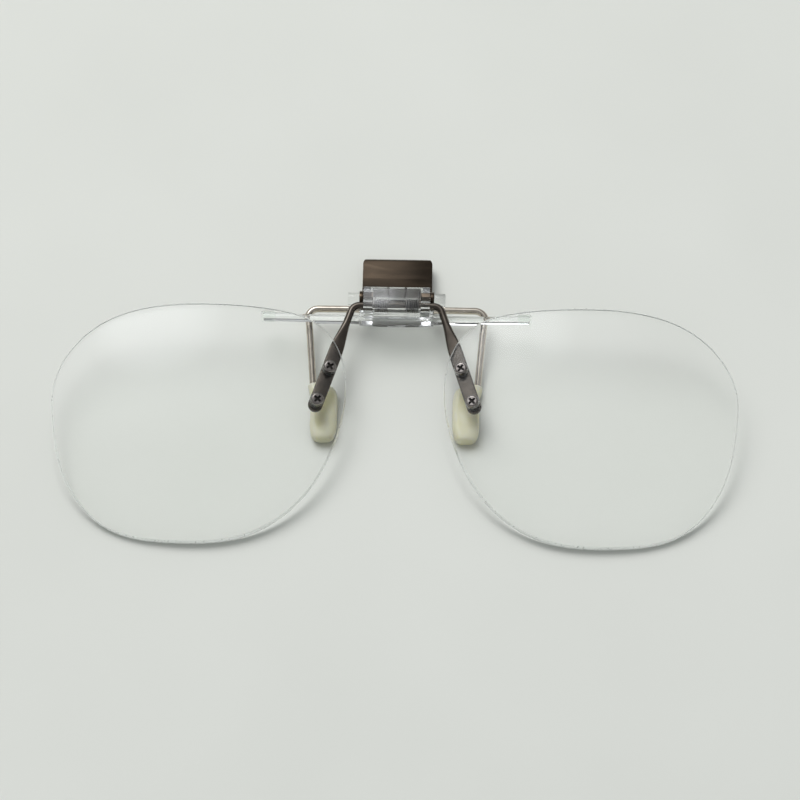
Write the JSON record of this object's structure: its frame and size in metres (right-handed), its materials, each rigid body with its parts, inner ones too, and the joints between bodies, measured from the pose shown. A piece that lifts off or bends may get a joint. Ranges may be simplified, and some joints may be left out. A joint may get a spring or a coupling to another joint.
{
  "type": "clip-on flip-up reading lenses",
  "caption": "Rimless reading lenses on a spring clip that grips a spectacle frame at the bridge; the lenses flip up on their wire.",
  "frame": {"origin": "middle of the footprint, on the surface that the clip lies on with its front up", "axes": "+X across the wearer's face, to the right as seen from the front; +Y towards the tab, the top when worn; +Z out of the front, away from the face"},
  "size_m": [0.1262, 0.0599, 0.0116],
  "materials": {
    "clear_plastic": "clear moulded polycarbonate",
    "clear_silicone": "clear silicone, slightly hazy",
    "gunmetal_wire": "polished gunmetal plate",
    "lens": "clear hard-coated lens resin",
    "screw_steel": "gunmetal plated",
    "clear_nylon": "clear nylon",
    "brown_gunmetal": "polished brown gunmetal plate",
    "nickel_wire": "polished nickel plate",
    "pad_silicone": "translucent pale yellow silicone",
    "spring_steel": "drawn spring wire"
  },
  "bodies": {
    "front_clip": {"front_bar": "clear_plastic", "left_bar_tip": "clear_silicone", "right_bar_tip": "clear_silicone"},
    "lens_unit": {"lens_wire": "gunmetal_wire", "left_lens": "lens", "right_lens": "lens", "left_upper_screw": "screw_steel", "left_lower_screw": "screw_steel", "right_upper_screw": "screw_steel", "right_lower_screw": "screw_steel", "left_lens_washers": "clear_nylon", "right_lens_washers": "clear_nylon", "left_lens_spacers": "clear_nylon", "right_lens_spacers": "clear_nylon"},
    "clamp_lever": {"tab_bracket": "brown_gunmetal", "left_rear_wire": "nickel_wire", "right_rear_wire": "nickel_wire", "left_rear_pad": "pad_silicone", "right_rear_pad": "pad_silicone", "torsion_spring": "spring_steel"}
  },
  "joints": [
    {"name": "lens_flip", "type": "hinge", "parent": "front_clip", "child": "lens_unit", "pos_m": [0, 0.01636, 0.00756], "axis": [-1, 0, 0], "range_deg": [0, 120]},
    {"name": "lever_pivot", "type": "hinge", "parent": "front_clip", "child": "clamp_lever", "pos_m": [0, 0.01856, 0.00617], "axis": [1, 0, 0], "range_deg": [0, 25], "stiffness_Nm_per_rad": 0.04, "springref_deg": -22.92, "deforming": ["torsion_spring"]}
  ]
}
